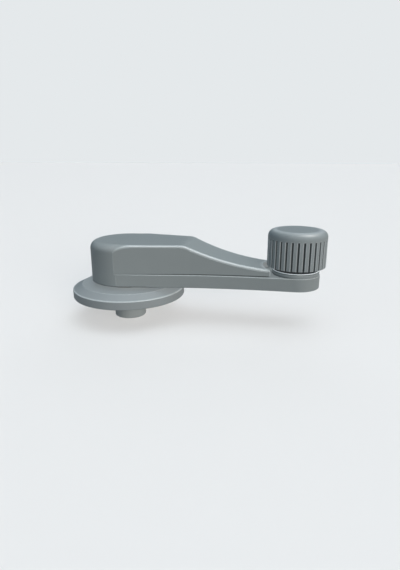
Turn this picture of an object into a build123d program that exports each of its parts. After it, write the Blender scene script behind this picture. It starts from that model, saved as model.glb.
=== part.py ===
from build123d import *
from math import cos, hypot, radians, sin, sqrt
import os

# A hand crank for a window winder. The spindle axis is Z, the arm runs along +X,
# and the origin is the centre of the socket's mouth, where the spindle enters.
# All sizes are in millimetres and degrees.

# ---- arm: plan ----
arm_reach = 91.3  # spindle axis to knob axis
hub_radius = 20.1  # round end over the spindle
tip_radius = 12.4  # round end under the knob
flank_distance = 19.87  # flat side to spindle axis
flank_angle = 8.3  # flat side's lean towards the tip
waist_start = 38.0  # where the flat side gives way to the waist curve
waist_radius = 450.0

# ---- arm: heights ----
boss_reach = 21.6  # socket mouth to the arm's underside
base_height = 6.8  # underside to parting line
arm_height = 21.95  # underside to the flat top over the hub
toe_height = 3.6  # cover above the parting line at its toe
crown_radius = 4.2  # big round along the hub's top edge
crown_leave = 2.0  # where the crown leaves the hub's circle, short of square to the arm
crown_sweep = 22.0  # radius of its outward curve past the hub
crown_spread = 25.0  # how far its sides open out
edge_radius = 1.1  # round where the flat sides meet the top
crest_radius = 10.0  # convex bend at the top of the fall
fall_angle = 23.9  # steepest slope of the fall
toe_angle = 4.0  # slope left at the toe
toe_setback = 11.8  # knob axis back to the end of the fall curve
cover_sweep = 17.0  # radius of the hollow end of the cover, about the knob axis

# ---- arm: walls and joints between shells ----
cover_wall = 2.0
base_wall = 2.0
base_roof = 2.4
cover_step_hub = 0.23  # cover's flat side stands back from the base's, at the hub
cover_step_waist = 0.7
cover_step_tip = 1.2
shadow_height = 0.45  # rebate along the cover's lower edge
shadow_depth = 0.6  # its depth at the tip, from nothing at the hub
base_edge = 0.35  # small round on the base's outer edges
rib = 1.2
rib_spacing = 12.4  # between the two long ribs in the cover
base_rib_count = 5  # cross ribs under the arm
hub_spoke_count = 6  # places for ribs round the hub, the arm's strip takes one
gap = 0.1  # clearance between pieces that are fixed to each other
over = 1.0  # how far a cutter runs past what it cuts

# ---- steel core ----
core_thickness = 2.5
core_hub_radius = 14.6
core_half_width = 6.6
core_tip_radius = 8.4
core_fillet = 8.0

# ---- snap hooks on the cover ----
hook_width = 5.0
hook_thickness = 1.4
hook_barb = 0.5
hook_drop = 1.3  # barb below the base's roof
hook_root = 2.6  # height of the root that joins the leg to the cover's wall
hook_bays = (0, 2)  # spaces between the base's cross ribs that have hooks
hook_inset = 3.1  # hook's outer face to the base's outer face

# ---- boss, socket and its screw ----
boss_radius = 8.65
boss_flange_radius = 13.6
boss_neck_radius = 8.0
boss_neck_flat = 6.9  # spindle axis to each flat of the neck
boss_head_radius = 8.8
boss_head_height = 1.2
boss_head_room = 0.4  # round the head, in the base's roof
socket_pilot_radius = 5.2
socket_pilot_length = 4.5
socket_depth = 17.0
spline_count = 24
spline_tip_radius = 4.6
spline_root_radius = 5.0
spline_land = 0.3  # share of the pitch left as land between two spaces
spline_taper = 0.4  # width of a space at its root, against its mouth
web_thickness = 3.4
screw_radius = 3.0
screw_length = 12.0
screw_head_radius = 5.0
screw_head_height = 3.4
screw_recess_reach = 3.0  # screw's axis to the end of each slot of the cross
screw_recess_width = 1.3
screw_recess_depth = 1.8
screw_tip = 0.75
screw_play = 0.3
counterbore_radius = 6.2
plain_washer_radius = 5.8
plain_washer_thickness = 1.2
spring_washer_radius = 5.2
spring_washer_thickness = 1.5
spring_washer_slit = 1.0

# ---- rosette ----
rosette_radius = 30.85
rosette_flat_radius = 25.6
rosette_drop = 2.05  # arm's underside to the rosette's flat top
rosette_cone = 2.55  # fall of the cone from the flat to the rim
rim_height = 4.35
rosette_wall = 2.0
rosette_edge = 0.4
rosette_sleeve_wall = 2.2
rosette_sleeve_length = 5.4
rosette_rib_count = 8
rosette_hoop_radius = 19.5
running = 0.08  # radial clearance of the rosette on the boss
thrust_play = 0.1
ring_thickness = 1.0
ring_groove_depth = 0.8
ring_width = 2.2
ring_opening = 50.0

# ---- knob, its rings and pin ----
knob_radius = 15.0
knob_height = 18.75
knob_lift = 4.25  # parting line to the knob's lower rim
knob_crown = 3.3
knob_wall = 2.6
knob_roof = 2.4
knob_edge = 0.35
flute_count = 32
flute_depth = 1.0
flute_width = 1.2
flute_floor = 0.2
flute_top = 4.2  # knob's top down to the ends of the flutes
flute_turn = -89.0  # first flute, round from the arm's line
seat_radius = 12.1
seat_thickness = 1.5
collar_radius = 11.95
collar_thickness = 0.9
collar_round = 0.4
seat_round = 0.15
pin_radius = 4.0
pin_tenon_radius = 3.0
pin_washer_radius = 7.2
pin_washer_thickness = 0.8
pin_head_radius = 4.4
pin_play = 0.05  # radial clearance of the knob on its pin
pin_chamfer = 0.4
knob_core_radius = 7.2
knob_core_web = 1.4
knob_core_webs = 6
knob_core_flange = 1.6
knob_core_recess = 0.4  # knob's rim to the flange
dished_thickness = 0.4
dished_rise = 0.3
top_washer_thickness = 0.8
clip_thickness = 0.8
clip_radius = 6.6
clip_groove_depth = 0.8
clip_prong_width = 2.4
end_play = 0.08

# ---- screws between base and core ----
base_screw_first = 34.0  # spindle axis to the first screw
base_screw_last = 27.3  # knob axis back to the last screw
base_screw_radius = 1.5
base_screw_length = 7.0
base_screw_head_radius = 2.7
base_screw_head_height = 1.5
base_screw_recess_reach = 1.6
base_screw_recess_width = 0.7
base_screw_recess_depth = 1.0
base_screw_tip = 0.75
post_radius = 3.0
post_height = 2.6

# ---- heights that follow ----
arm_z = boss_reach
part_z = arm_z + base_height
top_z = arm_z + arm_height
roof_z = part_z - base_roof
core_z = roof_z - core_thickness
seat_z = part_z + seat_thickness
collar_z = seat_z + collar_thickness
knob_z = part_z + knob_lift
rosette_top = arm_z - rosette_drop
rosette_rim_top = rosette_top - rosette_cone
rosette_z = rosette_rim_top - rim_height
sleeve_z = rosette_top - rosette_sleeve_length
base_screw_stations = (base_screw_first, arm_reach - base_screw_last)
rib_pitch = (arm_reach - 2 * core_hub_radius) / base_rib_count
first_rib = core_hub_radius + 3 / 4 * rib_pitch
seat_web_z = socket_depth + web_thickness
plain_top = seat_web_z + plain_washer_thickness
spring_top = plain_top + spring_washer_thickness
post_screw_top = core_z + base_screw_length
core_bottom = collar_z + dished_thickness + dished_rise + end_play
pin_end_room = top_washer_thickness + 3 * clip_thickness + 4 * end_play
core_top = knob_z + knob_height - knob_roof - pin_end_room
clip_z = core_top + top_washer_thickness + 2 * end_play
rivet_z = core_z - pin_washer_thickness


def disc(radius, low, high, x=0.0):
    """A round plate or post about an upright axis at x."""
    return Pos(x, 0, low) * extrude(Circle(radius), high - low)


def ring(outer, inner, low, high, x=0.0):
    """A round plate with a round hole."""
    return Pos(x, 0, low) * extrude(Circle(outer) - Circle(inner), high - low)


def block(x0, x1, y0, y1, z0, z1):
    """A box between two opposite corners."""
    centre = Pos((x0 + x1) / 2, (y0 + y1) / 2, (z0 + z1) / 2)
    return centre * Box(abs(x1 - x0), abs(y1 - y0), abs(z1 - z0))


def circles_meet(a, ra, b, rb):
    """Where two circles meet, on the left of the way from a to b."""
    dx, dy = b[0] - a[0], b[1] - a[1]
    d = hypot(dx, dy)
    along = (ra**2 - rb**2 + d**2) / (2 * d)
    side = sqrt(ra**2 - along**2)
    return (a[0] + (along * dx - side * dy) / d, a[1] + (along * dy + side * dx) / d)


def arm_plan(end=0.0, flank=0.0, waist=0.0, tip=0.0):
    """The arm seen from above, each stretch set in from the base's outer face."""
    lean = radians(flank_angle)
    foot = ((flank_distance - flank) * sin(lean), (flank_distance - flank) * cos(lean))
    full_y = (flank_distance - waist_start * sin(lean)) / cos(lean)
    bend = (waist_start - waist * sin(lean), full_y - waist * cos(lean))
    run = hypot(bend[0] - foot[0], bend[1] - foot[1])
    ux, uy = (bend[0] - foot[0]) / run, (bend[1] - foot[1]) / run
    across = foot[0] * ux + foot[1] * uy
    hub = hub_radius - end
    back = -across - sqrt(across**2 + hub**2 - foot[0] ** 2 - foot[1] ** 2)
    corner = (foot[0] + back * ux, foot[1] + back * uy)
    nose = tip_radius - tip
    sweep = waist_radius + waist
    hollow = circles_meet((arm_reach, 0), sweep + nose, bend, sweep)
    if hollow[1] < 0:
        hollow = circles_meet(bend, sweep, (arm_reach, 0), sweep + nose)
    share = nose / (sweep + nose)
    touch = (arm_reach + (hollow[0] - arm_reach) * share, hollow[1] * share)
    chord = ((bend[0] + touch[0]) / 2 - hollow[0], (bend[1] + touch[1]) / 2 - hollow[1])
    reach = sweep / hypot(*chord)
    mid = (hollow[0] + chord[0] * reach, hollow[1] + chord[1] * reach)

    def flip(p):
        return (p[0], -p[1])

    edge = Curve() + [
        ThreePointArc(flip(corner), (-hub, 0), corner),
        Line(corner, bend),
        ThreePointArc(bend, mid, touch),
        ThreePointArc(touch, (arm_reach + nose, 0), flip(touch)),
        ThreePointArc(flip(touch), flip(mid), flip(bend)),
        Line(flip(bend), flip(corner)),
    ]
    return make_face(edge)


def cover_plan(inset=0.0, shadow=0.0):
    """The cover from above: flush at the round end, stepped back along the flats."""
    return arm_plan(
        inset, cover_step_hub + inset, cover_step_waist + inset + shadow / 2,
        cover_step_tip + inset + shadow,
    )


def fall_profile(inset=0.0):
    """The arm's side view: flat over the hub, then an S-curve down to the toe."""
    fall, toe = radians(fall_angle), radians(toe_angle)
    crest_drop = crest_radius * (1 - cos(fall))
    drop = arm_height - base_height - toe_height - crest_drop
    sweep = drop / (cos(toe) - cos(fall))
    toe_x = arm_reach - toe_setback
    start = toe_x - sweep * (sin(fall) - sin(toe)) - crest_radius * sin(fall)
    crest = crest_radius - inset
    height = top_z - inset
    hollow_z = top_z - crest_drop + sweep * cos(fall)
    turn = start + crest_radius * sin(fall)
    hollow_x = turn + sweep * sin(fall)
    wide = sweep + inset

    def on_crest(a):
        return (start + crest * sin(a), height - crest * (1 - cos(a)))

    def on_sweep(a):
        return (hollow_x - wide * sin(a), hollow_z - wide * cos(a))

    left = -2 * hub_radius
    right = arm_reach + 2 * tip_radius
    tail = on_sweep(toe)
    end = (right, tail[1] - (right - tail[0]) * sin(toe) / cos(toe))
    edge = Curve() + [
        Line((left, 0), (left, height)),
        Line((left, height), (start, height)),
        ThreePointArc((start, height), on_crest(fall / 2), on_crest(fall)),
        ThreePointArc(on_sweep(fall), on_sweep((fall + toe) / 2), tail),
        Line(tail, end),
        Line(end, (right, 0)),
        Line((right, 0), (left, 0)),
    ]
    side = Plane.XZ * make_face(edge)
    return extrude(side, 2 * hub_radius, both=True)


def crown(inset=0.0):
    """A block with the big round along the hub's top edge, open towards the tip."""
    radius, sweep = hub_radius - inset, crown_sweep + inset
    leave, spread = radians(crown_leave), radians(crown_spread)

    def on_sweep(a, side=1):
        x = sweep * sin(a) - (radius + sweep) * sin(leave)
        return (x, side * ((radius + sweep) * cos(leave) - sweep * cos(a)))

    start, bend = on_sweep(leave), on_sweep(spread)
    far = (arm_reach, bend[1] + (arm_reach - bend[0]) * sin(spread) / cos(spread))
    edge = Curve() + [
        ThreePointArc(on_sweep(leave, -1), (-radius, 0), start),
        ThreePointArc(start, on_sweep((leave + spread) / 2), bend),
        Line(bend, far),
        Line(far, (far[0], -far[1])),
        Line((far[0], -far[1]), on_sweep(spread, -1)),
        ThreePointArc(on_sweep(spread, -1), on_sweep((leave + spread) / 2, -1), on_sweep(leave, -1)),
    ]
    solid = Pos(0, 0, part_z) * extrude(make_face(edge), arm_height - base_height - inset)
    rims = solid.faces().sort_by(Axis.Z)[-1].edges().sort_by(Axis.X)[:-1]
    return fillet(rims, crown_radius - inset)


def cover_volume(inset=0.0):
    """The cover's outside, or its hollow when it is set in by the wall."""
    plan = Pos(0, 0, part_z) * extrude(cover_plan(inset), arm_height)
    solid = crown(inset) & fall_profile(inset) & plan
    return solid - disc(cover_sweep + inset, part_z - over, top_z, arm_reach)


def half_width(x, inset):
    """From the arm's middle to a line set in from the base's outer face, at x."""
    section = arm_plan(inset, inset, inset, inset)
    cut = section & (Pos(x, hub_radius / 2) * Rectangle(gap, hub_radius))
    return cut.bounding_box().max.Y


def hook_stations():
    """Where the hooks are along the arm: half way between two cross ribs."""
    return [first_rib + (bay + 1 / 2) * rib_pitch for bay in hook_bays]


def make_cover():
    """Moulded shell with two long ribs and four snap hooks."""
    body = cover_volume()
    tops = [
        e
        for e in body.edges().filter_by(lambda e: e.center().Z > part_z + toe_height / 2)
        if is_flank_top(e)
    ]
    body = fillet(tops, edge_radius)
    hollow = cover_volume(cover_wall)
    body = body - hollow
    ribs = Part()
    for side in (-1, 1):
        y = side * rib_spacing / 2
        web = block(-hub_radius, arm_reach, y - rib / 2, y + rib / 2, part_z + rib, top_z)
        ribs += web & hollow
    body = body + ribs
    low = Pos(0, 0, part_z) * extrude(cover_plan() - cover_plan(0, shadow_depth), shadow_height)
    body = body - low
    for x in hook_stations():
        for side in (-1, 1):
            body = body + snap_hook(x, side)
    return body


def is_flank_top(edge):
    """Whether an edge runs along the top of a flat side."""
    box = edge.bounding_box()
    runs_along = box.max.X - box.min.X > edge_radius
    at_side = abs(edge.center().Y) > tip_radius / 2
    return runs_along and at_side and box.max.X < arm_reach - tip_radius + over


def snap_hook(x, side):
    """One leg rooted in the cover's wall, with a barb that catches under the base's roof."""
    outer = half_width(x, hook_inset)
    root = half_width(x, cover_step_waist + cover_wall / 2)
    low = roof_z - hook_drop
    top = part_z + hook_root
    shape = Polyline(
        (outer - hook_thickness, top),
        (root, top),
        (root, part_z),
        (outer, part_z),
        (outer, roof_z - gap),
        (outer + hook_barb, roof_z - gap),
        (outer, low),
        (outer - hook_thickness, low),
        close=True,
    )
    leg = extrude(Plane.YZ.offset(x - hook_width / 2) * make_face(shape), hook_width)
    return leg if side > 0 else mirror(leg, Plane.XZ)


def core_plan(grow=0.0):
    """The steel strip from above: a hub disc, a straight strip and a round end."""
    hub = Circle(core_hub_radius + grow)
    tip = Pos(arm_reach, 0) * Circle(core_tip_radius + grow)
    strip = Pos(arm_reach / 2, 0) * Rectangle(arm_reach, 2 * (core_half_width + grow))
    plan = hub + strip + tip
    necks = [v for v in plan.vertices() if 0 < v.X < arm_reach / 2]
    return fillet(necks, core_fillet - grow)


def neck_plan(grow=0.0):
    """The boss's neck: round with two flats, so that it can't turn in the core."""
    flats = Rectangle(4 * boss_neck_radius, 2 * (boss_neck_flat + grow))
    return Circle(boss_neck_radius + grow) & flats


def make_base():
    """Moulded channel, open below, with ribs up to the steel core."""
    shell = Pos(0, 0, arm_z) * extrude(arm_plan(), base_height)
    rims = [
        e
        for e in shell.edges()
        if e.center().Z < arm_z + gap or (e.center().Z > part_z - gap and e.center().X > arm_reach)
    ]
    shell = fillet(rims, base_edge)
    inner = arm_plan(base_wall, base_wall, base_wall, base_wall)
    hollow = Pos(0, 0, arm_z) * extrude(inner, base_height - base_roof)
    body = shell - hollow
    ribs = Part()
    for i in range(base_rib_count):
        x = first_rib + i * rib_pitch
        ribs += block(x - rib / 2, x + rib / 2, -hub_radius, hub_radius, arm_z + rib, roof_z)
    spoke = block(0, hub_radius, -rib / 2, rib / 2, arm_z + rib, roof_z)
    for i in range(1, hub_spoke_count):
        ribs += Rot(0, 0, 360 / hub_spoke_count * i) * spoke
    body = body + (ribs & hollow)
    body = body - Pos(0, 0, arm_z) * extrude(core_plan(gap), base_height - base_roof)
    body = body - disc(boss_head_radius + boss_head_room, roof_z - over, part_z + over)
    body = body - disc(pin_tenon_radius + pin_play, roof_z - over, part_z + over, arm_reach)
    for x in base_screw_stations:
        body = body + disc(post_radius, part_z - gap, part_z + post_height, x)
        body = body - disc(base_screw_radius + pin_play, roof_z - over, post_screw_top, x)
    for x in hook_stations():
        for side in (-1, 1):
            body = body - hook_window(x, side)
    return body


def hook_window(x, side):
    """Slot in the base's roof: tight outside the hook's leg, with room for it to spring inwards."""
    outer = half_width(x, hook_inset)
    half = hook_width / 2 + gap
    far = outer - hook_thickness - hook_barb - gap
    return block(x - half, x + half, side * far, side * (outer + gap), roof_z - over, part_z + over)


def make_core():
    """Pressed steel strip that carries the boss and the knob's pin."""
    body = Pos(0, 0, core_z) * extrude(core_plan(), core_thickness)
    body = body - Pos(0, 0, core_z - over) * extrude(neck_plan(pin_play), core_thickness + 2 * over)
    body = body - disc(pin_tenon_radius + pin_play, core_z - over, roof_z + over, arm_reach)
    for x in base_screw_stations:
        body = body - disc(base_screw_radius + gap, core_z - over, roof_z + over, x)
    return body


def make_boss():
    """Splined steel boss: socket below, flange under the core, formed head over it."""
    body = disc(boss_radius, 0, arm_z)
    body = chamfer(body.edges().sort_by(Axis.Z)[0], base_edge)
    body += disc(boss_flange_radius, arm_z, core_z)
    body += Pos(0, 0, core_z) * extrude(neck_plan(), core_thickness)
    head = disc(boss_head_radius, roof_z, roof_z + boss_head_height)
    body += chamfer(head.edges().sort_by(Axis.Z)[-1], boss_head_height / 2)
    body -= disc(socket_pilot_radius, 0, socket_pilot_length)
    body -= disc(spline_tip_radius, 0, socket_depth)
    base, root = spline_tip_radius - gap, spline_root_radius
    wide = base * sin(radians(180 / spline_count)) * (1 - spline_land)
    space = Polyline(
        (base, -wide), (root, -wide * spline_taper), (root, wide * spline_taper), (base, wide),
        close=True,
    )
    space = extrude(make_face(space), socket_depth)
    body -= [Rot(0, 0, 360 / spline_count * i) * space for i in range(spline_count)]
    body -= disc(screw_radius + screw_play, socket_depth - over, seat_web_z + over)
    body -= disc(counterbore_radius, seat_web_z, part_z)
    groove = sleeve_z - gap - ring_thickness - gap
    body -= ring(2 * boss_radius, boss_radius - ring_groove_depth, groove, sleeve_z)
    return body


def make_plain_washer():
    """Flat steel washer on the boss's web."""
    return ring(plain_washer_radius, screw_radius + screw_play, seat_web_z, plain_top)


def make_spring_washer():
    """Split spring washer, flattened under the screw's head."""
    body = ring(spring_washer_radius, screw_radius + screw_play, plain_top, spring_top)
    half = spring_washer_slit / 2
    slit = block(0, 2 * spring_washer_radius, -half, half, plain_top - over, spring_top + over)
    return body - slit


def make_spindle_screw():
    """Pan-head machine screw with a cross recess."""
    low = spring_top
    head = disc(screw_head_radius, low, low + screw_head_height)
    head = fillet(head.edges().sort_by(Axis.Z)[-1], screw_head_height / 2)
    shank = disc(screw_radius, low - screw_length, low)
    shank = chamfer(shank.edges().sort_by(Axis.Z)[0], screw_tip)
    recess = cross_recess(screw_recess_reach, screw_recess_width, screw_recess_depth)
    return head + shank - Pos(0, 0, low + screw_head_height) * recess


def cross_recess(reach, width, depth):
    """A plain cross, cut down into a screw's head from height zero."""
    slot = block(-reach, reach, -width / 2, width / 2, -depth, over)
    return slot + Rot(0, 0, 90) * slot


def make_base_screw(x):
    """Self-tapping screw up through the core into a post of the base."""
    head = disc(base_screw_head_radius, core_z - base_screw_head_height, core_z)
    head = fillet(head.edges().sort_by(Axis.Z)[0], base_screw_head_height / 2)
    shank = disc(base_screw_radius, core_z, post_screw_top - gap)
    shank = chamfer(shank.edges().sort_by(Axis.Z)[-1], base_screw_tip)
    recess = cross_recess(
        base_screw_recess_reach, base_screw_recess_width, base_screw_recess_depth
    )
    recess = Pos(0, 0, core_z - base_screw_head_height) * Rot(180, 0, 0) * recess
    return Pos(x, 0, 0) * (head + shank - recess)


def make_thrust_washer():
    """Nylon ring between the boss's flange and the rosette."""
    low = rosette_top + thrust_play
    return ring(boss_flange_radius - gap, boss_radius + running, low, arm_z)


def make_rosette():
    """Dished moulded disc, hollow and ribbed below, with a sleeve round the boss."""
    wall = rosette_wall
    outer = Polyline(
        (boss_radius + running, rosette_top),
        (rosette_flat_radius, rosette_top),
        (rosette_radius, rosette_rim_top),
        (rosette_radius, rosette_z),
        (rosette_radius - wall, rosette_z),
        (rosette_radius - wall, rosette_rim_top - wall),
        (rosette_flat_radius, rosette_top - wall),
        (boss_radius + running + rosette_sleeve_wall, rosette_top - wall),
        (boss_radius + running + rosette_sleeve_wall, sleeve_z),
        (boss_radius + running, sleeve_z),
        close=True,
    )
    body = revolve(Plane.XZ * make_face(outer), Axis.Z)
    rims = [e for e in body.edges() if e.bounding_box().max.X > rosette_radius - rosette_edge]
    body = fillet(rims, rosette_edge)
    inside = Polyline(
        (boss_radius + running + rosette_sleeve_wall / 2, rosette_top - wall / 2),
        (rosette_flat_radius, rosette_top - wall / 2),
        (rosette_radius - wall / 2, rosette_rim_top - wall / 2),
        (rosette_radius - wall / 2, sleeve_z + rib),
        (boss_radius + running + rosette_sleeve_wall / 2, sleeve_z + rib),
        close=True,
    )
    room = revolve(Plane.XZ * make_face(inside), Axis.Z)
    web = block(0, rosette_radius, -rib / 2, rib / 2, rosette_z, rosette_top)
    webs = [Rot(0, 0, 360 / rosette_rib_count * i) * web for i in range(rosette_rib_count)]
    hoop = ring(rosette_hoop_radius + rib / 2, rosette_hoop_radius - rib / 2, rosette_z, rosette_top)
    return body + (room & (hoop + webs))


def make_rosette_ring():
    """Open retaining ring in the boss's groove, just under the rosette's sleeve."""
    inner = boss_radius - ring_groove_depth + gap / 2
    low = sleeve_z - gap - ring_thickness
    body = ring(inner + ring_width, inner, low, low + ring_thickness)
    half = radians(ring_opening / 2)
    far = 2 * (inner + ring_width)
    side = (far * cos(half), far * sin(half))
    wedge = Polyline((0, 0), side, (side[0], -side[1]), close=True)
    return body - Pos(0, 0, low - over) * extrude(make_face(wedge), ring_thickness + 2 * over)


def make_knob_seat():
    """Lower ring on the tip of the base."""
    body = ring(seat_radius, pin_tenon_radius + pin_play, part_z, seat_z, arm_reach)
    return fillet(outer_rim(body), seat_round)


def make_knob_collar():
    """Upper ring, rounded over, that the knob's spring washer bears on."""
    body = ring(collar_radius, pin_tenon_radius + pin_play, seat_z, collar_z, arm_reach)
    return fillet(outer_rim(body), collar_round)


def outer_rim(body):
    """The longest upper edge of a round piece."""
    return body.faces().sort_by(Axis.Z)[-1].edges().sort_by(SortBy.LENGTH)[-1]


def make_knob_pin():
    """Shouldered rivet: formed below the core, grooved near the top for its clip."""
    tail = rivet_z - arm_z - 2 * gap
    body = disc(pin_radius, collar_z, clip_z + 2 * clip_thickness)
    body = chamfer(body.edges().sort_by(Axis.Z)[-1], pin_chamfer)
    body += disc(pin_tenon_radius, rivet_z, collar_z)
    head = disc(pin_head_radius, rivet_z - tail, rivet_z)
    body += fillet(head.edges().sort_by(Axis.Z)[0], tail / 2)
    bottom = pin_radius - clip_groove_depth
    body -= ring(2 * pin_radius, bottom, clip_z, clip_z + clip_thickness + end_play)
    return Pos(arm_reach, 0, 0) * body


def make_pin_washer():
    """Steel washer under the rivet's formed end."""
    return ring(pin_washer_radius, pin_tenon_radius + pin_play, rivet_z, core_z, arm_reach)


def make_dished_washer():
    """Coned spring washer that takes up the knob's end play."""
    inner, outer = pin_radius + gap, knob_core_radius
    section = Polyline(
        (inner, collar_z + dished_rise),
        (outer, collar_z),
        (outer, collar_z + dished_thickness),
        (inner, collar_z + dished_rise + dished_thickness),
        close=True,
    )
    return Pos(arm_reach, 0, 0) * revolve(Plane.XZ * make_face(section), Axis.Z)


def make_knob_core():
    """Moulded bush with webs and a closing flange, pressed into the knob shell."""
    outer = knob_radius - knob_wall
    flange_z = knob_z + knob_core_recess
    body = disc(knob_core_radius, core_bottom, core_top)
    body += disc(outer, flange_z, flange_z + knob_core_flange)
    web = block(0, outer, -knob_core_web / 2, knob_core_web / 2, flange_z, core_top)
    webs = [Rot(0, 0, 360 / knob_core_webs * i) * web for i in range(knob_core_webs)]
    body += disc(outer, flange_z, core_top - knob_crown) & (Part() + webs)
    return Pos(arm_reach, 0, 0) * (body - disc(pin_radius + pin_play, 0, core_top + over))


def make_knob_shell():
    """Fluted grip with a rounded flat top."""
    top = knob_z + knob_height
    body = disc(knob_radius, knob_z, top)
    body = fillet(body.edges().sort_by(Axis.Z)[-1], knob_crown)
    body = fillet(body.edges().sort_by(Axis.Z)[0], knob_edge)
    hollow = disc(knob_radius - knob_wall, knob_z - over, top - knob_roof)
    body -= fillet(hollow.edges().sort_by(Axis.Z)[-1], knob_crown / 2)
    floor = knob_radius - flute_depth
    slope = (flute_width - flute_floor) / (2 * flute_depth)
    mouth = flute_width / 2 + over * slope
    flute = Polyline(
        (floor, -flute_floor / 2),
        (knob_radius + over, -mouth),
        (knob_radius + over, mouth),
        (floor, flute_floor / 2),
        close=True,
    )
    cutter = Pos(0, 0, knob_z - over) * extrude(make_face(flute), knob_height - flute_top + over)
    step = 360 / flute_count
    body -= [Rot(0, 0, flute_turn + step * i) * cutter for i in range(flute_count)]
    return Pos(arm_reach, 0, 0) * body


def make_top_washer():
    """Flat washer between the knob core and the clip."""
    low = core_top + end_play
    return ring(knob_core_radius - gap, pin_radius + gap, low, low + top_washer_thickness, arm_reach)


def make_knob_clip():
    """E-shaped clip in the pin's groove."""
    inner = pin_radius - clip_groove_depth + pin_play
    low = clip_z
    body = ring(clip_radius, pin_radius + gap, low, low + clip_thickness)
    half = clip_prong_width / 2
    prong = block(0, (pin_radius + clip_radius) / 2, -half, half, low, low + clip_thickness)
    body += [Rot(0, 0, 90 * i) * prong for i in (1, 2, 3)]
    body -= disc(inner, low - over, low + clip_thickness + over)
    body -= block(0, 2 * clip_radius, -inner, inner, low - over, low + clip_thickness + over)
    return Pos(arm_reach, 0, 0) * body


pieces = {
    "arm_base": make_base(),
    "arm_cover": make_cover(),
    "arm_core": make_core(),
    "spindle_boss": make_boss(),
    "plain_washer": make_plain_washer(),
    "spring_washer": make_spring_washer(),
    "spindle_screw": make_spindle_screw(),
    "thrust_washer": make_thrust_washer(),
    "rosette": make_rosette(),
    "rosette_ring": make_rosette_ring(),
    "knob_seat": make_knob_seat(),
    "knob_collar": make_knob_collar(),
    "knob_pin": make_knob_pin(),
    "pin_washer": make_pin_washer(),
    "dished_washer": make_dished_washer(),
    "knob_core": make_knob_core(),
    "knob_shell": make_knob_shell(),
    "top_washer": make_top_washer(),
    "knob_clip": make_knob_clip(),
}
for number, station in enumerate(base_screw_stations, 1):
    pieces[f"base_screw_{number}"] = make_base_screw(station)

os.makedirs("parts", exist_ok=True)
for name, piece in pieces.items():
    export_step(piece, f"parts/{name}.step")
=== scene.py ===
import math

import bmesh
import bpy
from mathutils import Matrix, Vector


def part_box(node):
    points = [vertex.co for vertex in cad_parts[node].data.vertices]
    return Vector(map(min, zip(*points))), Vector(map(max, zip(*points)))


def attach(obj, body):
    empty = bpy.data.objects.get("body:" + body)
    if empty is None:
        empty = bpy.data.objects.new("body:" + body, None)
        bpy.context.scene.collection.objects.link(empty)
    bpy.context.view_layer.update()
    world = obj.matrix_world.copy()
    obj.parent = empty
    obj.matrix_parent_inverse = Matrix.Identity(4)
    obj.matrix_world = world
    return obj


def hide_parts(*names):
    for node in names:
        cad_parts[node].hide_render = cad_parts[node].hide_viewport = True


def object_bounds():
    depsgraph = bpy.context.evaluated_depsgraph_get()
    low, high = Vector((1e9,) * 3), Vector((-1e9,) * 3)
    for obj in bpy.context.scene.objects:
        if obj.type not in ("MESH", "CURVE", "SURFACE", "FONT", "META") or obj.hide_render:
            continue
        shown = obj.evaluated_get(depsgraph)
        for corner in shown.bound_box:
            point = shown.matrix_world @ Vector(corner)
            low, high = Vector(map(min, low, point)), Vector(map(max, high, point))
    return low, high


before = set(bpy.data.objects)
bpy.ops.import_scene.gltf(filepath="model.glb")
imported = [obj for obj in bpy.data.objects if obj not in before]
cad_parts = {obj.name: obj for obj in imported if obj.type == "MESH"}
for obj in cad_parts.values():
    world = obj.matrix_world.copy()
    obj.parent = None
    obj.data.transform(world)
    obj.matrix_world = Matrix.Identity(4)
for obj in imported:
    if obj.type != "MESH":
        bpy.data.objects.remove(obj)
cad_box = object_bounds()
MM = 0.001


# ---- Camera ----
# A wide lens close to the handle, a little to the right of square on and above it.
# It aims at a point in the object's box, half way back and low down.
aim_shares = (0.5207, 0.5, 0.3716)
azimuth = math.radians(10.46)
elevation = math.radians(16.72)
distance = 241.1 * MM
aim = Vector(low + (high - low) * share for low, high, share in zip(*cad_box, aim_shares))
away = Vector((
    math.sin(azimuth) * math.cos(elevation),
    -math.cos(azimuth) * math.cos(elevation),
    math.sin(elevation),
))
camera = bpy.data.objects.new("camera", bpy.data.cameras.new("camera"))
camera.data.lens = 27.72
camera.data.sensor_width = 36.0
camera.data.clip_start = 0.01
camera.location = aim + away * distance
camera.rotation_euler = away.to_track_quat("Z", "Y").to_euler()
bpy.context.scene.collection.objects.link(camera)
bpy.context.scene.camera = camera
bpy.context.scene.view_settings.view_transform = "Standard"


# ---- Studio lights ----
# Large soft lamps far off, so that floor and handle are lit evenly: the key low on
# the right, a broad pair overhead, and weaker ones all round. The last shows only as
# shine. The key and one overhead lamp throw shadows, and the rest fill them.
def lamp(name, turn, rise, spread, level, colour, shadow=False, matt=True, gloss=False):
    """A far lamp, turned from the front to the right and raised, in degrees.

    Spread is how wide it looks, and a lamp of level 1 lights a white face white. Matt
    and gloss say whether it lights faces, and whether they mirror it.
    """
    turn, rise = math.radians(turn), math.radians(rise)
    toward = Vector((
        math.sin(turn) * math.cos(rise), -math.cos(turn) * math.cos(rise), math.sin(rise)
    ))
    data = bpy.data.lights.new(name, "SUN")
    data.energy = math.pi * level
    data.angle = math.radians(spread)
    data.color = colour
    data.use_shadow = shadow
    sun = bpy.data.objects.new(name, data)
    sun.visible_diffuse = matt
    sun.visible_glossy = gloss
    sun.rotation_euler = toward.to_track_quat("Z", "Y").to_euler()
    bpy.context.scene.collection.objects.link(sun)


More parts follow.
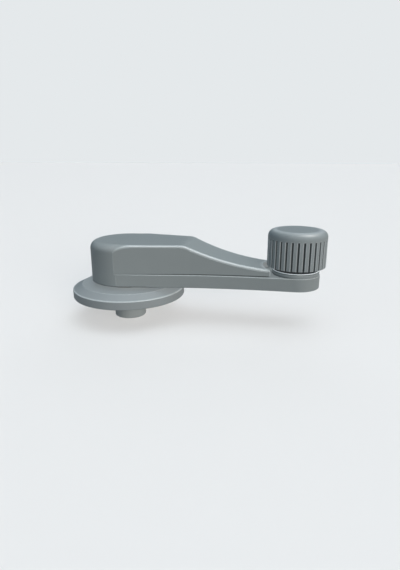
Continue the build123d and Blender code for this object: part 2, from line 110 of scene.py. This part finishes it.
warm = (1.0, 0.97, 0.92)
cool = (0.86, 0.94, 1.0)
lamp("key_right", 38, 12, 30, 0.42, warm, shadow=True)
lamp("key_fill", 34, 12, 60, 0.16, warm)
lamp("overhead", -10, 80, 50, 0.03, cool, shadow=True)
lamp("overhead_fill", 80, 80, 60, 0.58, cool)
lamp("edge_front", -2, 50, 14, 0.05, (1.0, 1.0, 1.0), gloss=True)
lamp("high_right", 72, 50, 14, 0.35, (1.0, 0.95, 0.89))
lamp("low_left", -50, 20, 60, 0.08, (0.60, 0.85, 1.0))
lamp("behind", 180, 15, 60, 0.25, (0.90, 0.95, 1.0))
lamp("shine", 94, 64, 24, 0.66, (1.0, 0.98, 0.95), matt=False, gloss=True)

# The room looks pale to the camera, and lights the handle as a dim blue sky does.
world = bpy.data.worlds.new("studio")
world.use_nodes = True
nodes, links = world.node_tree.nodes, world.node_tree.links
sky = nodes["Background"]
sky.inputs["Color"].default_value = (0.47, 0.76, 1.0, 1)
sky.inputs["Strength"].default_value = 0.11
backdrop = nodes.new("ShaderNodeBackground")
backdrop.inputs["Color"].default_value = (0.783, 0.815, 0.832, 1)
ray = nodes.new("ShaderNodeLightPath")
room = nodes.new("ShaderNodeMixShader")
links.new(ray.outputs["Is Camera Ray"], room.inputs["Fac"])
links.new(sky.outputs[0], room.inputs[1])
links.new(backdrop.outputs[0], room.inputs[2])
links.new(room.outputs[0], nodes["World Output"].inputs["Surface"])
bpy.context.scene.world = world


# ---- Rosette ----
# Dished disc that lies against the door's trim. It is injection moulded in satin
# grey, with a spark-eroded skin, and its outer edge gets a painted highlight.
class Wire:
    """One output of a node. Arithmetic on it adds the Math nodes that work it out."""

    def __init__(self, graph, socket):
        self.graph = graph
        self.socket = socket

    def maths(self, operation, *others):
        return self.graph.add("ShaderNodeMath", {"operation": operation}, [self, *others])

    def __add__(self, other):
        return self.maths("ADD", other)

    def __sub__(self, other):
        return self.maths("SUBTRACT", other)

    def __rsub__(self, other):
        return self.graph.add("ShaderNodeMath", {"operation": "SUBTRACT"}, [other, self])

    def __mul__(self, other):
        return self.maths("MULTIPLY", other)

    def __truediv__(self, other):
        return self.maths("DIVIDE", other)

    __radd__ = __add__
    __rmul__ = __mul__

    def limit(self):
        """Kept between nought and one."""
        settings = {"operation": "ADD", "use_clamp": True}
        return self.graph.add("ShaderNodeMath", settings, [self, 0.0])

    def ramp(self, start, stop):
        """Nought at start and one at stop, whichever is the larger, and level beyond them."""
        return ((self - start) / (stop - start)).limit()

    def along(self, axis):
        return self.graph.add("ShaderNodeSeparateXYZ", {}, [self], axis)


class Graph:
    """A node tree that hands out its sockets as wires."""

    def __init__(self, tree):
        self.tree = tree

    def add(self, kind, settings, values, result=0):
        """A node with its settings, then its values or links, by name or in order."""
        node = self.tree.nodes.new(kind)
        for key, value in settings.items():
            setattr(node, key, value)
        if not isinstance(values, dict):
            values = dict(enumerate(values))
        for key, value in values.items():
            self.join(node.inputs[key], value)
        return Wire(self, node.outputs[result])

    def join(self, socket, value):
        if isinstance(value, Wire):
            self.tree.links.new(value.socket, socket)
        else:
            socket.default_value = value


class Surface(Graph):
    """A material: the principled shader and the patterns that feed it."""

    samples = 8
    facet_bend = 0.025

    def __init__(self, name):
        self.material = bpy.data.materials.new(name)
        self.material.use_nodes = True
        super().__init__(self.material.node_tree)
        self.tree.nodes.clear()
        self.shader = self.tree.nodes.new("ShaderNodeBsdfPrincipled")
        output = self.tree.nodes.new("ShaderNodeOutputMaterial")
        self.tree.links.new(self.shader.outputs[0], output.inputs["Surface"])
        self.place = self.add("ShaderNodeTexCoord", {}, {}, "Object")
        self.height = self.place.along("Z")
        self.facing_up = self.add("ShaderNodeTexCoord", {}, {}, "Normal").along("Z")

    def set(self, **inputs):
        for name, value in inputs.items():
            self.join(self.shader.inputs[name.replace("_", " ")], value)

    def noise(self, size, detail, stretch=(1, 1, 1)):
        """Soft noise whose lumps are about size metres across."""
        scaled = self.add("ShaderNodeVectorMath", {"operation": "MULTIPLY"}, [self.place, stretch])
        values = {"Vector": scaled, "Scale": 1 / size, "Detail": detail}
        return self.add("ShaderNodeTexNoise", {}, values, "Fac")

    def blend(self, share, first, second):
        """A colour between two, each an (r, g, b) or a wire."""
        ends = [end if isinstance(end, Wire) else (*end, 1) for end in (first, second)]
        values = {0: share, 6: ends[0], 7: ends[1]}
        return self.add("ShaderNodeMix", {"data_type": "RGBA"}, values, 2)

    def mottle(self, cloud, colour, darkest, lightest):
        """The colour, between its darkest and lightest level as the cloud goes."""
        return self.blend(cloud, shade(colour, darkest), shade(colour, lightest))

    def hollow(self, reach, inside=False):
        """Nought on open faces, more in corners and grooves, or if inside, where it is thin."""
        settings = {"samples": self.samples, "inside": inside}
        return 1 - self.add("ShaderNodeAmbientOcclusion", settings, {"Distance": reach}, "AO")

    def edge(self, radius, sharpest):
        """Nought on flat faces and round ones, whose facets hardly bend, one at the sharpest."""
        soft = self.add("ShaderNodeBevel", {"samples": self.samples}, {"Radius": radius})
        true = self.add("ShaderNodeNewGeometry", {}, {}, "Normal")
        apart = self.add("ShaderNodeVectorMath", {"operation": "DISTANCE"}, [soft, true], "Value")
        return apart.ramp(self.facet_bend, sharpest)

    def from_upright(self, axis):
        """How far it is from an upright axis through a point."""
        away = self.add("ShaderNodeVectorMath", {"operation": "SUBTRACT"}, [self.place, axis])
        flat = self.add("ShaderNodeVectorMath", {"operation": "MULTIPLY"}, [away, (1, 1, 0)])
        return self.add("ShaderNodeVectorMath", {"operation": "LENGTH"}, [flat], "Value")

    def bump(self, height, strength, distance):
        values = {"Strength": strength, "Distance": distance, "Height": height}
        return self.add("ShaderNodeBump", {}, values)


def shade(colour, level):
    return tuple(channel * level for channel in colour)


def middle(node):
    low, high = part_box(node)
    return (low + high) / 2


def moulded_plastic(
    name, colour, highlight_colour, edge_highlight=None, painted_shade=None, thin=1.2 * MM, roughness=0.33, gloss=0.22
):
    """Satin plastic: spark-eroded skin, painted shade in grooves and corners, and painted
    highlights on edges.

    Creases are found by their bend, and rounded edges that face up by how thin the
    piece is behind them. One given function says how bright their painted highlights
    get, and another how dark the painted shade in the grooves is.
    """
    surface = Surface(name)
    skin = surface.noise(0.35 * MM, 3.0)
    cloud = surface.noise(14 * MM, 3.0)
    groove = surface.hollow(1.0 * MM).ramp(0, 0.667)
    if painted_shade:
        groove = painted_shade(surface, groove)
    crease = surface.edge(0.45 * MM, 0.58)
    rounded = surface.hollow(thin, inside=True).ramp(0.06, 0.227) * 0.85
    rounded = rounded * surface.facing_up.ramp(0.2, 0.486)
    rub_and_highlight = edge_highlight(surface, crease, rounded) if edge_highlight else crease.maths("MAXIMUM", rounded)
    rub_and_highlight = rub_and_highlight * groove.ramp(0.588, 0)
    with_highlights = surface.blend(rub_and_highlight, surface.mottle(cloud, colour, 0.96, 1.04), highlight_colour)
    surface.set(
        # painted shade darkens grooves and corners, and painted highlights lighten edges
        Base_Color=surface.blend(groove, with_highlights, shade(colour, 0.12)),
        Roughness=roughness + cloud * 0.06 + skin * 0.04 - rub_and_highlight * 0.08,
        Specular_IOR_Level=gloss,
        Normal=surface.bump(skin, 0.12, 0.02 * MM),
    )
    return surface.material


def dress(material, *names):
    """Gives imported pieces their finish."""
    for name in names:
        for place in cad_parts[name].material_slots:
            place.material = material


shelf_radius = 25.4 * MM
shelf_fade = 0.4 * MM


def rosette_highlights(surface, crease, rounded):
    """Its outer rim gets a painted highlight, and the flat round the hub is painted a
    little paler against the shade that the hub throws there.

    The shallow bend round that flat gets no painted highlight.
    """
    from_axis = surface.from_upright(middle("rosette"))
    # painted light on the flat round the hub, against the hub's shade
    shelf = from_axis.ramp(shelf_radius, shelf_radius - shelf_fade) * 0.045
    return crease.ramp(0.219, 0.844).maths("MAXIMUM", rounded).maths("MAXIMUM", shelf)


def hub_painted_shade(surface, groove):
    """Painted shade, only right under the hub."""
    return groove.ramp(0.269, 0.654)


rosette_grey = (0.254, 0.277, 0.286)
# the pale grey that painted edge highlights blend towards
highlight_grey = (0.70, 0.74, 0.75)
dress(
    moulded_plastic("rosette_grey", rosette_grey, highlight_grey, rosette_highlights, hub_painted_shade), "rosette"
)


# ---- Spindle boss ----
# Steel socket with splines inside, formed over the core at its top. It is painted in
# the arm's grey, and its edges get a painted highlight, partly metal showing through thin paint.
def painted_steel(name, colour, highlight_colour):
    """Sprayed paint on turned steel: fine orange peel, and painted highlights on the edges, where
    the paint is also thin.
    """
    surface = Surface(name)
    peel = surface.noise(0.9 * MM, 2.0)
    cloud = surface.noise(9 * MM, 3.0)
    groove = surface.hollow(1.0 * MM)
    # painted highlight along edges, partly thin paint, kept out of corners
    thin = surface.edge(0.3 * MM, 0.58) * groove.ramp(0.4, 0)
    surface.set(
        Base_Color=surface.blend(
            thin * 0.5, surface.mottle(cloud, colour, 0.96, 1.04), highlight_colour
        ),
        Metallic=thin * 0.25,
        Roughness=0.36 + cloud * 0.08,
        Specular_IOR_Level=0.22,
        Normal=surface.bump(peel, 0.10, 0.03 * MM),
    )
    return surface.material


dress(painted_steel("boss_paint", (0.296, 0.320, 0.322), highlight_grey), "spindle_boss")


# ---- Thrust washer ----
# Natural nylon ring that the rosette turns against. It is off-white, a little waxy,
# and dulled in fine bands round its side.
def bearing_plastic(name, colour, rubbed):
    """Plain bearing plastic with fine bands of wear, one above another."""
    surface = Surface(name)
    grain = surface.noise(0.5 * MM, 3.0)
    bands = surface.noise(2.2 * MM, 4.0, (1, 1, 6))
    surface.set(
        Base_Color=surface.blend(bands, colour, rubbed),
        Roughness=0.42 + grain * 0.12,
        Normal=surface.bump(grain, 0.10, 0.02 * MM),
    )
    return surface.material


dress(bearing_plastic("nylon", (0.70, 0.68, 0.62), (0.60, 0.58, 0.52)), "thrust_washer")


# ---- Spring steel ----
# The rosette's retaining ring, the split and dished washers and the knob's clip are
# stamped from strip, hardened and oiled: brown-black, brighter where the edges rub.
def oiled_steel(name, colour, bright):
    """Dark hardened strip, stained by oil, with bright edges."""
    surface = Surface(name)
    stain = surface.noise(2.5 * MM, 4.0)
    grain = surface.noise(0.25 * MM, 2.0, (1, 1, 4))
    rub_and_highlight = surface.edge(0.12 * MM, 0.425)
    surface.set(
        Base_Color=surface.blend(rub_and_highlight * 0.7, surface.mottle(stain, colour, 0.8, 1.3), bright),
        Metallic=0.85 + rub_and_highlight * 0.15,
        Roughness=0.34 + stain * 0.18 - rub_and_highlight * 0.08,
        Normal=surface.bump(grain, 0.15, 0.01 * MM),
    )
    return surface.material


spring_steel = oiled_steel("spring_steel", (0.12, 0.11, 0.10), (0.55, 0.54, 0.52))
dress(spring_steel, "rosette_ring", "spring_washer", "dished_washer", "knob_clip")


# ---- Steel core ----
# Pressed steel bar that carries the load from the boss to the pin. It is lightly oiled
# sheet, with the faint streaks of rolling along it and burnished sheared edges.
def rolled_steel(name, colour, bright):
    """Oiled sheet with rolling streaks along X and bright edges."""
    surface = Surface(name)
    streak = surface.noise(0.4 * MM, 3.0, (0.05, 1, 1))
    bloom = surface.noise(6 * MM, 4.0)
    rub_and_highlight = surface.edge(0.2 * MM, 0.425)
    surface.set(
        Base_Color=surface.blend(rub_and_highlight * 0.6, surface.mottle(bloom, colour, 0.88, 1.1), bright),
        Metallic=1.0,
        Roughness=0.30 + bloom * 0.16 + streak * 0.06,
        Normal=surface.bump(streak, 0.12, 0.01 * MM),
    )
    return surface.material


dress(rolled_steel("pressed_steel", (0.50, 0.51, 0.53), (0.75, 0.75, 0.76)), "arm_core")


# ---- Arm shells ----
# Two injection-moulded shells in one grey: a deep cover over the hub, clipped on to
# the channel under it that reaches on below the knob. They meet flush round the hub.
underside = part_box("arm_base")[0].z
seam_height = underside + 6.8 * MM
seam_band = 0.8 * MM
flush_end = 4 * MM
flush_fade = 7 * MM
cover_highlight_low = seam_height + 1.0 * MM
cover_highlight_high = seam_height + 3.0 * MM
toe_sweep = 17 * MM
toe_highlight_from = toe_sweep + 0.6 * MM
toe_highlight_to = toe_sweep + 2.6 * MM
sweep_band = 0.1 * MM
rosette_shade_low = underside + 0.56 * MM
rosette_shade_high = underside + 1.36 * MM


def shell_highlights(surface, crease, rounded):
    """Creases get a painted highlight, the base's half as much, and so do the cover's rounded
    flank tops.

    The base's lower edge gets none, and neither does the seam where the shells are flush.
    Further on along the seam only what faces up gets it. The hollow that the knob
    sweeps in the cover's toe is painted paler all over, against the shade the knob
    throws in it, and the highlight fades beside it.
    """
    off_seam = (surface.height - seam_height).maths("ABSOLUTE")
    by_hub = surface.place.along("X").ramp(flush_end + flush_fade, flush_end)
    flush = off_seam.ramp(2 * seam_band, seam_band) * by_hub
    on_cover = surface.height.ramp(cover_highlight_low, cover_highlight_high)
    off_floor = surface.height.ramp(underside + seam_band, underside + 2 * seam_band)
    from_knob = surface.from_upright(middle("knob_shell"))
    off_toe = from_knob.ramp(toe_highlight_from, toe_highlight_to)
    above_seam = surface.height.ramp(seam_height, seam_height + seam_band)
    on_sweep = (from_knob - toe_sweep).maths("ABSOLUTE").ramp(2 * sweep_band, sweep_band)
    sharp = crease.ramp(0, 0.167) * (1 - flush) * off_floor
    sharp = sharp * (0.45 + on_cover * off_toe * 0.4)
    upward_only = off_seam.ramp(0.5 * seam_band, 1.5 * seam_band)
    sharp = sharp * surface.facing_up.ramp(0.05, 0.383).maths("MAXIMUM", upward_only)
    # painted light in the hollow that the knob sweeps, against the knob's shade
    sharp = sharp.maths("MAXIMUM", on_sweep * above_seam * 0.5)
    return sharp.maths("MAXIMUM", rounded * on_cover * (0.2 + off_toe * 0.8))


def cover_painted_shade(surface, groove):
    """Painted shade in corners and grooves, none in the hollow that the knob sweeps."""
    from_knob = surface.from_upright(middle("knob_shell"))
    return groove * from_knob.ramp(toe_sweep + sweep_band, toe_sweep + 2 * sweep_band)


def base_painted_shade(surface, groove):
    """Painted shade: little on the open ledge beside the cover, much on the bottom edge by the
    rosette.
    """
    low_down = surface.height.ramp(rosette_shade_high, rosette_shade_low)
    # painted shade on the bottom edge where the rosette is near
    by_rosette = surface.hollow(4 * MM).ramp(0.14, 0.265) * low_down
    return (groove * 0.25).maths("MAXIMUM", by_rosette)


shell_grey = (0.238, 0.262, 0.266)
cover_grey = moulded_plastic(
    "cover_grey", shell_grey, highlight_grey, shell_highlights, cover_painted_shade, thin=1.95 * MM
)
dress(cover_grey, "arm_cover")
dress(moulded_plastic("base_grey", shell_grey, highlight_grey, shell_highlights, base_painted_shade), "arm_base")


# ---- Plated washers and pin ----
# The flat washers and the shouldered pin that the knob turns on are turned and zinc
# plated: bright, with a faint iridescence and fine marks of turning round them.
def plated_metal(name, colour, tinted):
    """Bright plating that goes from one tint to another, with fine turning marks."""
    surface = Surface(name)
    turning = surface.noise(0.30 * MM, 2.0, (0.4, 0.4, 3))
    bloom = surface.noise(4 * MM, 3.0)
    rub_and_highlight = surface.edge(0.12 * MM, 0.525)
    film = surface.blend(bloom, shade(colour, 0.92), tinted)
    surface.set(
        Base_Color=surface.blend(rub_and_highlight * 0.5, film, (0.86, 0.86, 0.86)),
        Metallic=1.0,
        Roughness=0.22 + bloom * 0.12 + turning * 0.05,
        Normal=surface.bump(turning, 0.10, 0.008 * MM),
    )
    return surface.material


plated_steel = plated_metal("plated_steel", (0.66, 0.67, 0.70), (0.72, 0.71, 0.66))
dress(plated_steel, "plain_washer", "pin_washer", "top_washer", "knob_pin")


# ---- Screws ----
# An M6 pan-head screw holds the boss on its spindle, and two self-tapping screws
# hold the core in the base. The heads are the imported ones, on shanks with rolled threads.
def grooved_turning():
    """Turns a profile round Z and sinks V grooves in it, upright or as a helix."""
    tree = bpy.data.node_groups.new("grooved_turning", "GeometryNodeTree")
    kinds = {"Profile": "Geometry", "Columns": "Int", "Centre": "Vector", "Finish": "Material"}
    sizes = (
        "Barrel Radius", "Grooves Round", "Threads Per Metre", "Spacing", "Start",
        "Width", "Floor", "Depth", "Rounding", "Low", "High", "Run Out",
    )
    kinds.update({name: "Float" for name in sizes})
    for name, kind in kinds.items():
        tree.interface.new_socket(name, in_out="INPUT", socket_type="NodeSocket" + kind)
    tree.interface.new_socket("Geometry", in_out="OUTPUT", socket_type="NodeSocketGeometry")
    graph = Graph(tree)
    given = tree.nodes.new("NodeGroupInput")
    size = {name: Wire(graph, given.outputs[name]) for name in kinds}

    # a sheet of quads, one row for each point of the profile
    domain = {"component": "MESH"}
    rows = graph.add("GeometryNodeAttributeDomainSize", domain, [size["Profile"]], "Point Count")
    sheet = graph.add("GeometryNodeMeshGrid", {}, {
        "Size X": 1.0, "Size Y": 1.0, "Vertices X": size["Columns"] + 1, "Vertices Y": rows,
    })
    place = graph.add("GeometryNodeInputPosition", {}, {})
    row = ((place.along("Y") + 0.5) * (rows - 1)).maths("ROUND")
    point = graph.add(
        "GeometryNodeSampleIndex", {"data_type": "FLOAT_VECTOR", "domain": "POINT"},
        {"Geometry": size["Profile"], "Value": place, "Index": row},
    )
    height = point.along("Z")

    # how deep the groove is there, from how far the point lies from its middle
    turn = place.along("X") + 0.5
    thread = turn * size["Grooves Round"] - height * size["Threads Per Metre"] - size["Start"]
    aside = ((thread + 0.5).maths("FRACT") - 0.5).maths("ABSOLUTE") * size["Spacing"] * 2
    share = (size["Width"] - aside) / (size["Width"] - size["Floor"])
    share = share.maths("SMOOTH_MAX", 0.0, size["Rounding"])
    share = share.maths("SMOOTH_MIN", 1.0, size["Rounding"])
    above = ((height - size["Low"]) / size["Run Out"]).limit()
    below = ((size["High"] - height) / size["Run Out"]).limit()
    floor = size["Barrel Radius"] - share * size["Depth"] * above * below
    radius = point.along("X").maths("MINIMUM", floor)

    # round the axis, with the seam and the poles closed
    angle = turn * math.tau
    round_axis = graph.add("ShaderNodeCombineXYZ", {}, [
        radius * angle.maths("COSINE"), radius * angle.maths("SINE"), height,
    ])
    where = graph.add(
        "ShaderNodeVectorMath", {"operation": "ADD"}, [round_axis, size["Centre"]]
    )
    turned = graph.add(
        "GeometryNodeSetPosition", {}, {"Geometry": sheet, "Position": where}
    )
    closed = graph.add(
        "GeometryNodeMergeByDistance", {}, {"Geometry": turned, "Distance": 0.002 * MM}
    )
    whole = graph.add("GeometryNodeRealizeInstances", {}, {"Geometry": closed})
    done = graph.add(
        "GeometryNodeSetMaterial", {}, {"Geometry": whole, "Material": size["Finish"]}
    )
    end = tree.nodes.new("NodeGroupOutput")
    graph.join(end.inputs[0], done)
    return tree


def smooth(mesh, sharp_angle):
    mesh.shade_smooth()
    mesh.set_sharp_from_angle(angle=math.radians(sharp_angle))


def plain_mesh(piece, sharp_angle):
    """The piece's evaluated shape as its own mesh, facing outwards and smooth."""
    shape = piece.evaluated_get(bpy.context.evaluated_depsgraph_get())
    mesh = bpy.data.meshes.new_from_object(shape)
    piece.modifiers.clear()
    piece.data = mesh
    shell = bmesh.new()
    shell.from_mesh(mesh)
    bmesh.ops.recalc_face_normals(shell, faces=shell.faces)
    shell.to_mesh(mesh)
    shell.free()
    smooth(mesh, sharp_angle)


def turn_piece(name, profile, sharp_angle, **sizes):
    """A piece turned from its profile, a list of (radius, height), by the tree above."""
    line = bpy.data.meshes.new(name)
    steps = [(i, i + 1) for i in range(len(profile) - 1)]
    line.from_pydata([(radius, 0, height) for radius, height in profile], steps, [])
    piece = bpy.data.objects.new(name, line)
    bpy.context.scene.collection.objects.link(piece)
    turning = piece.modifiers.new("turning", "NODES")
    turning.node_group = turning_tree
    for item in turning_tree.interface.items_tree:
        value = sizes.get(item.name.lower().replace(" ", "_"))
        if value is not None:
            turning[item.identifier] = value
    plain_mesh(piece, sharp_angle)
    return piece


turning_tree = grooved_turning()
tip_chamfer = 0.75 * MM
shank_in_head = 0.2 * MM
head_skirt = 0.05 * MM
thread_columns = 40
rows_per_thread = 10
groove_mouth = 0.9
groove_floor = 0.12
thread_angle = 50


def threaded_shank(name, centre, under_head, tip, radius, pitch, depth):
    """A shank from just inside the head to its tapered tip, with a helical groove."""
    way = 1 if tip > under_head else -1
    length = (tip - under_head) * way
    count = math.ceil(length / pitch * rows_per_thread)
    root = under_head - way * shank_in_head
    profile = [(0, root), (radius, root)]
    for i in range(count + 1):
        along = length * i / count
        tapered = radius - tip_chamfer + length - along
        profile.append((min(radius, tapered), under_head + way * along))
    profile.append((0, tip))
    first_thread = under_head + way * pitch
    return turn_piece(
        name, profile, thread_angle, columns=thread_columns, centre=(centre.x, centre.y, 0),
        finish=plated_steel, barrel_radius=radius, grooves_round=1.0,
        threads_per_metre=1 / pitch, spacing=pitch, start=0.0, width=groove_mouth * pitch,
        floor=groove_floor * pitch, depth=depth, rounding=0.08, low=min(first_thread, tip),
        high=max(first_thread, tip) + pitch, run_out=pitch,
    )


def threaded_screw(node, head, radius, pitch, depth, points_up):
    """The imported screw's head with a threaded shank in place of its plain one."""
    low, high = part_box(node)
    way = 1 if points_up else -1
    under_head = low.z + head if points_up else high.z - head
    tip = high.z if points_up else low.z
    shank = threaded_shank(
        node + "_shank", middle(node), under_head, tip, radius, pitch, depth
    )
    whole = bmesh.new()
    whole.from_mesh(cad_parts[node].data)
    bmesh.ops.remove_doubles(whole, verts=whole.verts, dist=0.001 * MM)
    bmesh.ops.bisect_plane(
        whole, geom=[*whole.verts, *whole.edges, *whole.faces], dist=0.0001 * MM,
        plane_co=(0, 0, under_head + way * head_skirt), plane_no=(0, 0, way), clear_outer=True,
    )
    rim = [edge for edge in whole.edges if edge.is_boundary]
    bmesh.ops.holes_fill(whole, edges=rim)
    bmesh.ops.recalc_face_normals(whole, faces=whole.faces)
    whole.from_mesh(shank.data)
    whole.to_mesh(shank.data)
    whole.free()
    smooth(shank.data, thread_angle)
    shank.name = node + "_threaded"
    shank.data.name = shank.name
    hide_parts(node)
    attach(shank, "arm")


threaded_screw(
    "spindle_screw", head=3.4 * MM, radius=3.0 * MM, pitch=1.0 * MM, depth=0.58 * MM,
    points_up=False,
)
for screw in ("base_screw_1", "base_screw_2"):
    threaded_screw(
        screw, head=1.5 * MM, radius=1.5 * MM, pitch=1.1 * MM, depth=0.36 * MM,
        points_up=True,
    )


# ---- Knob's rings ----
# Two plain moulded rings on the tip, in the arm's grey: the seat, and the collar that
# the knob's spring washer rubs on. Both get painted highlights on their edges, and the collar's
# top is painted dark for the shade under the knob.
dress(moulded_plastic("seat_grey", (0.245, 0.270, 0.277), (0.33, 0.36, 0.37)), "knob_seat")
collar_rim = 0.32 * MM
shade_fade = 0.15 * MM
rim_highlight_low = 0.288 * MM
rim_highlight_high = 0.1814 * MM


def shaded_ring(name, node, colour, rim_highlight, shade_colour):
    """Moulded plastic with a painted highlight on its rim and painted shade on top inside it."""
    surface = Surface(name)
    low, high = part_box(node)
    inner = (high.x - low.x) / 2 - collar_rim
    skin = surface.noise(0.35 * MM, 3.0)
    smear = surface.noise(1.5 * MM, 3.0, (1, 1, 3))
    # painted shade on the top, where the knob shades it
    shaded_top = surface.from_upright(middle(node)).ramp(inner, inner - shade_fade)
    below_top = high.z - surface.height
    # painted highlight on the round rim
    rounded = below_top.ramp(rim_highlight_low, rim_highlight_high) * (1 - shaded_top)
    surface.set(
        Base_Color=surface.blend(shaded_top, surface.blend(rounded, colour, rim_highlight), shade_colour),
        Roughness=0.36 + smear * 0.10 + shaded_top * 0.25,
        Specular_IOR_Level=0.22,
        Normal=surface.bump(skin, 0.12, 0.02 * MM),
    )
    return surface.material


# the collar's grey, its painted rim highlight and its painted shade under the knob
collar_grey = shaded_ring(
    "collar_grey", "knob_collar", (0.205, 0.229, 0.235), (0.80, 0.86, 0.89),
    (0.030, 0.033, 0.036),
)
dress(collar_grey, "knob_collar")


# ---- Knob core ----
# Black acetal bush with webs, pressed into the knob's shell and turning on the pin.
# Its flange closes the knob from below.
dress(bearing_plastic("bush_black", (0.022, 0.022, 0.024), (0.05, 0.05, 0.052)), "knob_core")


# ---- Knob shell ----
# Moulded grip with upright V flutes that stop short of its crown, big round shoulders
# and a flat top. It is hollow, closed below by the core's flange.
knob_low, knob_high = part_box("knob_shell")
knob_centre = middle("knob_shell")
knob_radius = (knob_high.x - knob_low.x) / 2
crown = 3.3 * MM
knob_wall = 2.6 * MM
knob_roof = 2.4 * MM
foot = 0.35 * MM
flutes = 32
columns_per_flute = 16
flute_end = knob_high.z - 4.2 * MM
flute_depth = 1.0 * MM
flute_width = 1.2 * MM
flute_floor = 0.2 * MM
flute_run_out = 0.45 * MM
first_flute_turn = -89.0 / 360
crown_highlight_from = 5.0 * MM
crown_highlight_to = 3.7 * MM


def flute_highlights(surface, crease, rounded):
    """Painted highlights on the lips of the flutes and on the start of the crown's round."""
    from_rim = knob_radius - surface.from_upright(knob_centre)
    # painted highlight ring on the crown's round
    on_crown = from_rim.ramp(crown_highlight_from, crown_highlight_to) * surface.facing_up.ramp(0.78, 1.0)
    return crease.maths("MAXIMUM", on_crown * 0.28)


def flute_painted_shade(surface, groove):
    """Painted shade on the walls and the floor of the flutes."""
    from_rim = knob_radius - surface.from_upright(knob_centre)
    below_crown = surface.height.ramp(flute_end, flute_end - flute_run_out)
    # painted shade on the flute walls
    walls = from_rim.ramp(0.05 * flute_depth, 0.505 * flute_depth) * below_crown
    return groove.maths("MAXIMUM", walls * 0.8)


def arc(centre_r, centre_z, radius, start, stop, count):
    """Points of a round in the profile, from one angle to another."""
    angles = [math.radians(start + (stop - start) * i / count) for i in range(count + 1)]
    return [(centre_r + radius * math.cos(a), centre_z + radius * math.sin(a)) for a in angles]


inner_radius = knob_radius - knob_wall
inner_round = crown / 2
# rows close together, where the flutes run out
side_steps = [flute_end + step * MM for step in (0.6, 0.3, 0.15, 0.0, -0.15, -0.3, -0.45, -0.6)]
knob_profile = [(0, knob_high.z)]
knob_profile += arc(knob_radius - crown, knob_high.z - crown, crown, 90, 0, 14)
knob_profile += [(knob_radius, height) for height in side_steps]
knob_profile += arc(knob_radius - foot, knob_low.z + foot, foot, 0, -90, 4)
knob_profile += [(inner_radius, knob_low.z)]
knob_profile += arc(
    inner_radius - inner_round, knob_high.z - knob_roof - inner_round, inner_round, 0, 90, 5
)
knob_profile += [(0, knob_high.z - knob_roof)]
knob_grey = moulded_plastic(
    "knob_grey", (0.230, 0.256, 0.263), highlight_grey, flute_highlights, flute_painted_shade,
    roughness=0.40, gloss=0.90,
)
knob = turn_piece(
    "fluted_grip", knob_profile, 32, columns=flutes * columns_per_flute,
    centre=(knob_centre.x, knob_centre.y, 0), finish=knob_grey,
    barrel_radius=knob_radius, grooves_round=float(flutes), threads_per_metre=0.0,
    spacing=math.tau * knob_radius / flutes, start=first_flute_turn * flutes,
    width=flute_width, floor=flute_floor, depth=flute_depth, rounding=0.12,
    low=knob_low.z - 1.0 * MM, high=flute_end, run_out=flute_run_out,
)
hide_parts("knob_shell")
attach(knob, "knob")


# ---- Floor ----
# Plain pale sheet under the handle. The camera and glossy faces see it paler than it
# throws light back.
reach = 4.0
mirrored_share = 0.4
thrown_back = (0.12, 0.125, 0.13)
looks = (0.76, 0.735, 0.72)
floor_mesh = bpy.data.meshes.new("floor")
floor_mesh.from_pydata(
    [(-reach, -reach, 0), (reach, -reach, 0), (reach, reach, 0), (-reach, reach, 0)], [],
    [(0, 1, 2, 3)],
)
floor = bpy.data.objects.new("floor", floor_mesh)
bpy.context.scene.collection.objects.link(floor)
paper = Surface("floor_paper")
direct = paper.add("ShaderNodeLightPath", {}, {}, "Is Camera Ray")
mirrored = paper.add("ShaderNodeLightPath", {}, {}, "Is Glossy Ray")
shown = direct.maths("MAXIMUM", mirrored * mirrored_share)
paper.set(Base_Color=paper.blend(shown, thrown_back, looks), Roughness=0.9)
floor.data.materials.append(paper.material)
